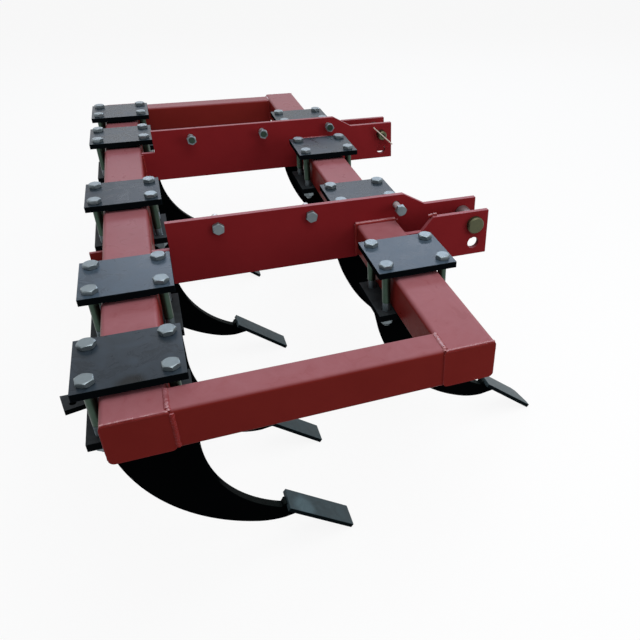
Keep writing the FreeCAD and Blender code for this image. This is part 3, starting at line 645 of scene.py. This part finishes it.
@dataclass
class Bolts:
    """Hexagon bolts with turned-down corners, part threads and nuts, in two kinds."""

    finishes: Finishes
    # clamp bolts stand upright with their heads on the upper plates
    clamp_flats: float = 27.0
    clamp_head: float = 9.5
    clamp_rod: float = 18.0
    clamp_nut: float = 15.0
    # how far they stand from the clamp's middle and from the beam's faces
    clamp_along: float = 50.0
    clamp_side: float = 12.5
    # top of the upper plates, and how far the bolts pass their nuts
    plate_top: float = 22.0
    tail: float = 8.0
    thread_pitch: float = 2.5
    thread_length: float = 56.0
    thread_depth: float = 1.2
    # how far a ridge's foot lies in the core, and how much thinner the core is than the rod
    thread_foot: float = 0.8
    core_cut: float = 2.2
    # mast bolts lie across the machine, loose in the hitch plates
    mast_flats: float = 24.0
    mast_head: float = 10.0
    mast_rod: float = 16.0
    mast_nut: float = 13.0
    mast_length: float = 60.0
    # depth of the dish in the nut's face
    mast_recess: float = 1.5
    # radius of the dish
    mast_dish: float = 9.6
    # their height, the place of the front one and their pitch
    mast_level: float = 37.3
    mast_first: float = 653.0
    mast_pitch: float = 206.0
    # how far each bolt stands clear of its plate, from the rear one to the front one
    right_clear: tuple[float, ...] = (0.0, 0.0, 29.0)
    left_clear: tuple[float, ...] = (34.0, 34.0, 26.0)
    # width that a hexagon's turned corners leave at its ends, as a share of its flats
    turned: float = 0.93
    # how far a cone runs on beyond both ends of the prism that it turns down
    beyond: float = 1.0
    rod_edge: float = 1.2
    round_sides: int = 28
    cone_sides: int = 48
    smooth_degrees: float = 30.0
    # no two bolts are turned alike: radians for each millimetre across, along and sideways
    clamp_twist: Point = (0.7, 0.11, 0.05)
    # the first mast bolt's turn in radians, and how much further each next one is turned
    mast_twist: tuple[float, float] = (0.4, 0.9)

    def hexagon(self, name: str, flats: float, height: float, base: float, both: bool) -> bpy.types.Object:
        """Makes a hexagon whose corners are turned down to a cone of thirty degrees.

        Args:
            name: name of the piece.
            flats: width across flats.
            height: its height.
            base: its underside.
            both: whether the underside is turned down too, as on a nut.

        Returns:
            The hexagon, standing on the drawing's z axis.
        """
        bpy.ops.mesh.primitive_cylinder_add(vertices=6, radius=flats / math.sqrt(3), depth=height)
        prism = fresh(name)
        narrow = flats / 2 * self.turned
        thin = narrow - self.beyond * math.sqrt(3)
        wide = narrow + (height + self.beyond) * math.sqrt(3)
        for end in ((1, -1) if both else (1,)):
            lower, upper = (wide, thin) if end > 0 else (thin, wide)
            bpy.ops.mesh.primitive_cone_add(vertices=self.cone_sides, radius1=lower, radius2=upper,
                                            depth=height + self.beyond * 2)
            cone = fresh(name + "_cone")
            modify(prism, "BOOLEAN", operation="INTERSECT", object=cone, solver="EXACT")
            bpy.data.objects.remove(cone)
        return lay(prism, Matrix.Translation((0, 0, base + height / 2)))

    def thread(self, name: str, rod: float, top: float, bottom: float) -> bpy.types.Object:
        """Makes a threaded length as one helical ridge.

        Args:
            name: name of the piece.
            rod: outside diameter.
            top: upper end of the thread.
            bottom: lower end of the thread.

        Returns:
            The ridge.
        """
        turns = int((top - bottom) / self.thread_pitch)
        crest = rod / 2
        root = crest - self.thread_depth
        bpy.ops.mesh.primitive_plane_add(size=1.0)
        ridge = fresh(name)
        shape = ((root, 0.0), (crest, 0.5), (root, 1.0), (root - self.thread_foot, 0.5))
        for vertex, (out, share) in zip(ridge.data.vertices, shape):
            vertex.co = Vector((out, 0.0, share * self.thread_pitch))
        modify(ridge, "SCREW", axis="Z", angle=math.tau, screw_offset=self.thread_pitch, iterations=turns,
               steps=18, render_steps=18, use_merge_vertices=False)
        return lay(ridge, Matrix.Translation((0, 0, bottom)))

    def rod(self, name: str, diameter: float, top: float, bottom: float) -> bpy.types.Object:
        """Makes a plain round length with broken ends.

        Args:
            name: name of the piece.
            diameter: its diameter.
            top: its upper end.
            bottom: its lower end.

        Returns:
            The round length.
        """
        bpy.ops.mesh.primitive_cylinder_add(vertices=self.round_sides, radius=diameter / 2,
                                            depth=top - bottom)
        piece = fresh(name)
        modify(piece, "BEVEL", width=self.rod_edge, segments=1, limit_method="ANGLE",
               angle_limit=math.radians(60))
        return lay(piece, Matrix.Translation((0, 0, (top + bottom) / 2)))

    def whole(self, name: str, bright: Sequence[bpy.types.Object],
              green: Sequence[bpy.types.Object]) -> bpy.types.Object:
        """Joins the lengths of one bolt, with their finishes.

        Args:
            name: name of the bolt.
            bright: the pieces in bright zinc.
            green: the pieces in green zinc.

        Returns:
            The bolt.
        """
        for piece in bright:
            dress(piece, self.finishes.of(Zone.ZINC))
        for piece in green:
            dress(piece, self.finishes.green)
        bolt = joined([*bright, *green], name)
        smooth(bolt, self.smooth_degrees)
        return bolt

    def shanked(self, bolt: bpy.types.Object, shank: bpy.types.Object) -> bpy.types.Object:
        """Joins a pale shank to a bolt."""
        dress(shank, self.finishes.pale)
        smooth(shank, self.smooth_degrees)
        return joined([bolt, shank], bolt.name)

    def clamp_bolt(self) -> bpy.types.Object:
        """Makes one clamp bolt with its nut, head up on the drawing's z axis, in millimetres."""
        nut_bottom = MACHINE.saddle_bottom - self.clamp_nut
        tail = nut_bottom - self.tail
        thread_top = tail + self.thread_length
        head = self.hexagon("head", self.clamp_flats, self.clamp_head, self.plate_top, True)
        nut = self.hexagon("nut", self.clamp_flats, self.clamp_nut, nut_bottom, True)
        shank = self.rod("shank", self.clamp_rod, self.plate_top, thread_top)
        core = self.rod("core", self.clamp_rod - self.core_cut, thread_top, tail)
        ridge = self.thread("ridge", self.clamp_rod, thread_top, tail + 1)
        return self.whole("clamp_bolt", [head, nut, core, ridge], [shank])

    def mast_bolt(self, nutted: bool) -> bpy.types.Object:
        """Makes one mast bolt along the drawing's z axis, in millimetres.

        Args:
            nutted: whether it carries a nut with the bolt's end set back in it; its head is then on top of
                the rod and its nut at the origin. Otherwise the head's underside is at the origin.

        Returns:
            The bolt.
        """
        if not nutted:
            head = self.hexagon("mast_head", self.mast_flats, self.mast_head, 0, False)
            shank = self.rod("mast_shank", self.mast_rod, 0, -self.mast_length)
            return self.shanked(self.whole("mast_bolt", [head], []), shank)
        head = self.hexagon("mast_head", self.mast_flats, self.mast_head, self.mast_length, False)
        nut = self.hexagon("mast_nut", self.mast_flats, self.mast_nut, -self.mast_recess, True)
        bpy.ops.mesh.primitive_cylinder_add(vertices=self.round_sides, radius=self.mast_dish,
                                            depth=self.mast_recess * 2)
        socket = fresh("mast_socket")
        lay(socket, Matrix.Translation((0, 0, -self.mast_recess)))
        modify(nut, "BOOLEAN", operation="DIFFERENCE", object=socket, solver="EXACT")
        bpy.data.objects.remove(socket)
        shank = self.rod("mast_shank", self.mast_rod, self.mast_length, 0.5)
        # a green disc fills the dish, just narrower than it and just below the nut's own face
        face = self.rod("mast_face", self.mast_dish * 2 - 0.1, 3.0, -0.4)
        bolt = self.whole("nutted_mast_bolt", [head, nut], [face])
        return self.shanked(bolt, shank)

    def set_out(self, name: str, pattern: bpy.types.Object, places: Sequence[Matrix]) -> None:
        """Copies the bolt to every place and joins the copies, in place of the CAD node of that name.

        Args:
            name: the CAD node.
            pattern: the bolt on the drawing's z axis.
            places: where each copy goes on the drawing.
        """
        twins = []
        for number, place in enumerate(places):
            twins.append(lay(copied(pattern, f"{name}_{number}"), MACHINE.stand @ place))
        keep(joined(twins, name + "_turned"), Zone.ZINC, name)

    def build(self) -> None:
        """Sets out the clamp bolts of both rows and the mast bolts of both sides."""
        pattern = self.clamp_bolt()
        by_place, by_along, by_side = self.clamp_twist
        sides = (-self.clamp_side, MACHINE.beam_width + self.clamp_side)
        for row in ("rear", "front"):
            places = []
            for clamp in CLAMPS:
                if clamp.name.startswith(row):
                    for along in (-self.clamp_along, self.clamp_along):
                        for side in sides:
                            twist = clamp.across * by_place + along * by_along + side * by_side
                            turn = Matrix.Rotation(twist, 4, "Z")
                            spot = (clamp.across + along, clamp.rear_face + side, 0)
                            places.append(Matrix.Translation(spot) @ turn)
            self.set_out(f"clamp_bolts_{row}", pattern, places)
        bpy.data.objects.remove(pattern)
        inner_face = MACHINE.plate_thickness - MACHINE.plate_face - self.mast_recess
        first, step = self.mast_twist
        for side, nutted, quarter, entry, clears in (
            ("right", False, math.pi / 2, MACHINE.plate_face, self.right_clear),
            ("left", True, -math.pi / 2, inner_face, self.left_clear),
        ):
            pattern = self.mast_bolt(nutted)
            places = []
            for number, clear in enumerate(clears):
                spot = (entry + clear, self.mast_first - self.mast_pitch * (2 - number), self.mast_level)
                turn = Matrix.Rotation(quarter, 4, "Y") @ Matrix.Rotation(first + number * step, 4, "Z")
                places.append(Matrix.Translation(spot) @ turn)
            self.set_out(f"mast_bolts_{side}", pattern, places)
            bpy.data.objects.remove(pattern)


def upright(x: float, y: float, start: float, end: float, half: float) -> Seam:
    """A seam along an upright corner, between two heights."""
    return (x, y, start), (x, y, end), half


def lengthwise(x: float, start: float, end: float, z: float, half: float) -> Seam:
    """A level seam from back to front, or the other way."""
    return (x, start, z), (x, end, z), half


def crosswise(start: float, end: float, y: float, z: float, half: float) -> Seam:
    """A level seam across the machine."""
    return (start, y, z), (end, y, z), half


@dataclass
class WeldSeams:
    """Arc-welded seams: a row of overlapping ripples along each joint, painted over with the frame."""

    finishes: Finishes
    # length of one ripple
    ripple: float = 3.4
    # how uneven a bead is in millimetres, from its lowest to its highest, and over what length
    waver: float = 2.2
    waver_scale: float = 6.5
    # how much a ripple narrows along its length, and how much longer it is than its share of the run
    taper: float = 0.93
    overlap: float = 1.4
    sides: int = 12
    smooth_degrees: float = 50.0

    def seam(self, name: str, start: Point, end: Point, radius: float) -> bpy.types.Object:
        """Lays one straight seam on the drawing.

        Args:
            name: name of the piece.
            start: where it starts.
            end: where it ends.
            radius: half of its width.

        Returns:
            The seam, laid down in the frame.
        """
        first, last = Vector(start), Vector(end)
        run = last - first
        count = max(2, round(run.length / self.ripple))
        step = run.length / count
        bpy.ops.mesh.primitive_cone_add(vertices=self.sides, radius1=radius, radius2=radius * self.taper,
                                        depth=step * self.overlap)
        bead = fresh(name)
        modify(bead, "ARRAY", count=count, use_relative_offset=False, use_constant_offset=True,
               constant_offset_displace=(0, 0, step))
        texture = bpy.data.textures.get("weld_waver") or bpy.data.textures.new("weld_waver", "CLOUDS")
        texture.noise_scale = self.waver_scale
        turn = run.to_track_quat("Z", "Y").to_matrix().to_4x4()
        lay(bead, Matrix.Translation(first) @ turn @ Matrix.Translation((0, 0, step / 2)))
        modify(bead, "DISPLACE", texture=texture, strength=self.waver, mid_level=0.5,
               texture_coords="LOCAL")
        return lay(bead, MACHINE.stand)

    def laid(self, name: str, seams: Sequence[Seam], zone: Zone = Zone.FRAME) -> None:
        """Lays a group of seams and joins them into one piece.

        Args:
            name: name of the piece.
            seams: start, end and half width of each.
            zone: the kind of surface.
        """
        beads = [self.seam(f"{name}_{number}", *seam) for number, seam in enumerate(seams)]
        whole = joined(beads, name)
        dress(whole, self.finishes.beads if zone is Zone.FRAME else self.finishes.of(zone))
        smooth(whole, self.smooth_degrees)
        keep(whole, zone)

    def beam_ends(self) -> None:
        """Seams round the plates that close the main beams, right at their edges."""
        seams = []
        low = -MACHINE.beam_height
        for side in (-1, 1):
            x = side * (MACHINE.half_length - 2.6)
            for rear in (0.0, MACHINE.beam_spacing):
                front = rear + MACHINE.beam_width
                seams += [
                    lengthwise(x, rear + 3.4, front - 3.4, -3, 3.4),
                    upright(x, front - 0.3, -10, low + 10, 1.6),
                    lengthwise(x, front - 9, rear + 9, low + 0.5, 1.8),
                    upright(x, rear + 0.3, low + 10, -10, 1.6),
                ]
        self.laid("welds_beam_ends", seams)

    def side_beams(self) -> None:
        """Seams where the side beams meet the main beams: the top ones fill the beams' rounded edges."""
        seams = []
        low = -MACHINE.beam_height
        outer = MACHINE.half_length - 3
        inner = MACHINE.half_length - MACHINE.side_beam_width - 1
        # face of the main beam, way to the side beam, half width and inset of the upright seam outside
        meetings = ((MACHINE.beam_width, 1, 4.8, 0.0), (MACHINE.beam_spacing, -1, 2.6, 1.6))
        for side in (-1, 1):
            top = -MACHINE.left_beam_lowered if side < 0 else 0.0
            a, b = side * outer, side * inner
            for face, way, width, inset in meetings:
                # a lump where the top seam turns down at the outer corner
                first = (a - side, face - way * 1.5, top - 4)
                last = (a - side * 9, face - way * 2.5, top - 1.2)
                seams += [
                    upright(a - side * inset, face + way * 1.5, -7, low + 6, width),
                    upright(b, face + way, -7, low + 7, 4.0),
                    crosswise(a - side * 4, b + side * 5, face - way * 3, top - 3.6, 6.2),
                    (first, last, 4.6),
                    crosswise(a - side * 7, b + side * 7, face, low, 3.6),
                ]
        self.laid("welds_side_beams", seams)

    def hitch(self) -> None:
        """Seams of the hitch plates, lugs and webs."""
        seams = []
        back, front = MACHINE.beam_spacing, MACHINE.front_face
        low = -MACHINE.beam_height + 2
        plate = MACHINE.plate_face + 1.5, MACHINE.plate_face - MACHINE.plate_thickness - 1.5
        lug = MACHINE.lug_face - 1, MACHINE.lug_face + MACHINE.plate_thickness + 1
        web = MACHINE.plate_face + 1, MACHINE.lug_face - 1
        for side in (-1, 1):
            for x in (side * plate[0], side * plate[1]):
                seams += [
                    upright(x, back - 1, 0, low, 4.6),
                    upright(x, front + 1, 0, low, 3.6),
                    lengthwise(x, back - 2, front - 5, 1.4, 5.6),
                    upright(x, MACHINE.beam_width + 1, -4, low, 3.5),
                ]
            seams += [upright(side * x, front + 1, -8, low, 3.5) for x in lug]
            seams += [upright(side * x, y, low, -44, 3.0) for x in web for y in (front + 60, front + 70)]
        # the lumps left at the rear top corner of the right lug
        seams.append(((388, front + 60, 27), (391, front + 67, 30), 4.6))
        seams.append(((389, front + 71, 30), (391, front + 77, 31), 3.8))
        self.laid("welds_hitch", seams)

    def tines(self) -> None:
        """Seams between the saddle plates and the shanks, and round the chisel points."""
        seams = []
        # length of the seams beside a chisel point's seat
        seat = 40
        for clamp in CLAMPS:
            left, right = clamp.across - SHANK_THICKNESS / 2, clamp.across + SHANK_THICKNESS / 2
            seat_y = clamp.rear_face + POINT_AHEAD - 2.3
            seat_z = clamp.lift - POINT_DROP - 10.7
            for x in (left, right):
                toe = (x, seat_y + math.cos(POINT_SLOPE) * seat, seat_z - math.sin(POINT_SLOPE) * seat)
                seams += [
                    lengthwise(x, clamp.rear_face - 22, clamp.rear_face + 124, MACHINE.saddle_bottom, 3.6),
                    ((x, seat_y, seat_z), toe, 3.4),
                ]
            seams.append(crosswise(left, right, seat_y - 5, seat_z + 5, 3.8))
        self.laid("welds_tines", seams, Zone.TINE)

    def build(self) -> None:
        """Lays all the seams."""
        self.beam_ends()
        self.side_beams()
        self.hitch()
        self.tines()


@dataclass
class FrameWorks:
    """The CAD solids that stay as they are, with their finishes."""

    finishes: Finishes
    smooth_degrees: float = 32.0

    def build(self) -> None:
        """Dresses each node by its own finish or else by the record's slot."""
        slots = {part["node"]: Zone(part["material_slot"]) for part in frame["record"]["subparts"]}
        for node, obj in frame["nodes"].items():
            if obj.hide_render:
                continue
            dress(obj, self.finishes.of_node(node, slots[node]))
            smooth(obj, self.smooth_degrees)


# Studio


@dataclass(frozen=True)
class Lamp:
    """One soft lamp: its place, the point it faces, its width and height in metres, its watts and tint."""

    name: str
    place: Point
    aim: Point
    size: tuple[float, float]
    watts: float
    tint: str = "#ffffff"

    def hang(self) -> None:
        """Adds the lamp to the scene."""
        data = bpy.data.lights.new(self.name, "AREA")
        data.color = linear(self.tint)[:3]
        data.shape = "RECTANGLE"
        data.size, data.size_y = self.size
        data.energy = self.watts
        lamp = bpy.data.objects.new(self.name, data)
        bpy.context.scene.collection.objects.link(lamp)
        lamp.location = self.place
        lamp.rotation_euler = (Vector(self.aim) - Vector(self.place)).to_track_quat("-Z", "Y").to_euler()


LAMPS = (
    Lamp("overhead", (0.8, 0.6, 3.0), (0, 0, 0.3), (2.4, 2.4), 46),
    Lamp("front_fill", (1.8, 1.9, 1.1), (0, 0.1, 0.5), (1.2, 1.2), 14),
    Lamp("far_panel", (-3.2, 1.3, 2.5), (0, 0.1, 0.5), (4.4, 0.7), 42, "#dbe8ff"),
)


@dataclass(frozen=True)
class Studio:
    """A pale floor, soft lamps and the camera at the photograph's view."""

    camera_place: Point = (1.6772, -0.23465, 1.20163)
    camera_turn: Point = (55.84621, 0.18592, 67.99364)
    lens: float = 36.42
    sensor: float = 36.0
    shift: tuple[float, float] = (-0.168824, -0.01049)
    floor_width: float = 60.0
    # the floor's own glow to the camera, and the share of it over its shadows
    floor_glow: float = 1.12
    glow_share: float = 0.8
    # strength of the surroundings as a light
    air: float = 0.36

    def camera(self) -> None:
        """Places the camera where the photograph was taken from."""
        data = bpy.data.cameras.new("photo_view")
        data.lens = self.lens
        data.sensor_width = self.sensor
        data.shift_x, data.shift_y = self.shift
        camera = bpy.data.objects.new("photo_view", data)
        bpy.context.scene.collection.objects.link(camera)
        camera.location = self.camera_place
        camera.rotation_euler = Euler([math.radians(turn) for turn in self.camera_turn], "XYZ")
        bpy.context.scene.camera = camera

    def seen(self, tree: bpy.types.NodeTree) -> bpy.types.NodeSocket:
        """One where the camera looks straight or by a mirror or glass, and nought for lighting rays."""
        path = add(tree, "ShaderNodeLightPath")
        mirrored = add(tree, "ShaderNodeMath", {"operation": "MAXIMUM"}, {
            0: path.outputs["Is Glossy Ray"], 1: path.outputs["Is Transmission Ray"]})
        both = add(tree, "ShaderNodeMath", {"operation": "MAXIMUM"}, {
            0: path.outputs["Is Camera Ray"], 1: mirrored.outputs[0]})
        return both.outputs[0]

    def floor(self) -> None:
        """Lays the floor, which keeps the machine's shadow and is near white to the camera."""
        bpy.ops.object.select_all(action="DESELECT")
        bpy.ops.mesh.primitive_plane_add(size=self.floor_width)
        floor = fresh("studio_floor")
        # a pale matt studio floor
        material = bpy.data.materials.new("pale_floor")
        material.use_nodes = True
        tree = material.node_tree
        tree.nodes.clear()
        share = product(tree, self.seen(tree), self.glow_share)
        matt = add(tree, "ShaderNodeBsdfDiffuse", sockets={"Color": linear("#b9babb")})
        glow = add(tree, "ShaderNodeEmission", sockets={
            "Color": linear("#ffffff"), "Strength": self.floor_glow})
        mix = add(tree, "ShaderNodeMixShader", sockets={
            0: share, 1: matt.outputs["BSDF"], 2: glow.outputs["Emission"]})
        add(tree, "ShaderNodeOutputMaterial", sockets={"Surface": mix.outputs["Shader"]})
        dress(floor, material)

    def world(self) -> None:
        """Fills the surroundings with an even pale light, white to the camera."""
        world = bpy.data.worlds.new("studio_air")
        world.use_nodes = True
        tree = world.node_tree
        tree.nodes.clear()
        air = add(tree, "ShaderNodeBackground", sockets={
            "Color": linear("#ffffff"), "Strength": ranged(tree, self.seen(tree), low=self.air)})
        add(tree, "ShaderNodeOutputWorld", sockets={"Surface": air.outputs["Background"]})
        bpy.context.scene.world = world

    def build(self) -> None:
        """Sets up the whole studio."""
        self.camera()
        self.floor()
        self.world()
        for lamp in LAMPS:
            lamp.hang()
        bpy.context.scene.view_settings.view_transform = "Standard"


def main() -> None:
    """Builds every piece in order and sets the studio."""
    logging.basicConfig(level=logging.INFO, format="%(message)s")
    finishes = Finishes()
    for assembly in (CutSteel(finishes), Bolts(finishes), WeldSeams(finishes), FrameWorks(finishes)):
        assembly.build()
        LOG.info("built %s", type(assembly).__name__)
    Studio().build()


if __name__ == "__main__":
    main()
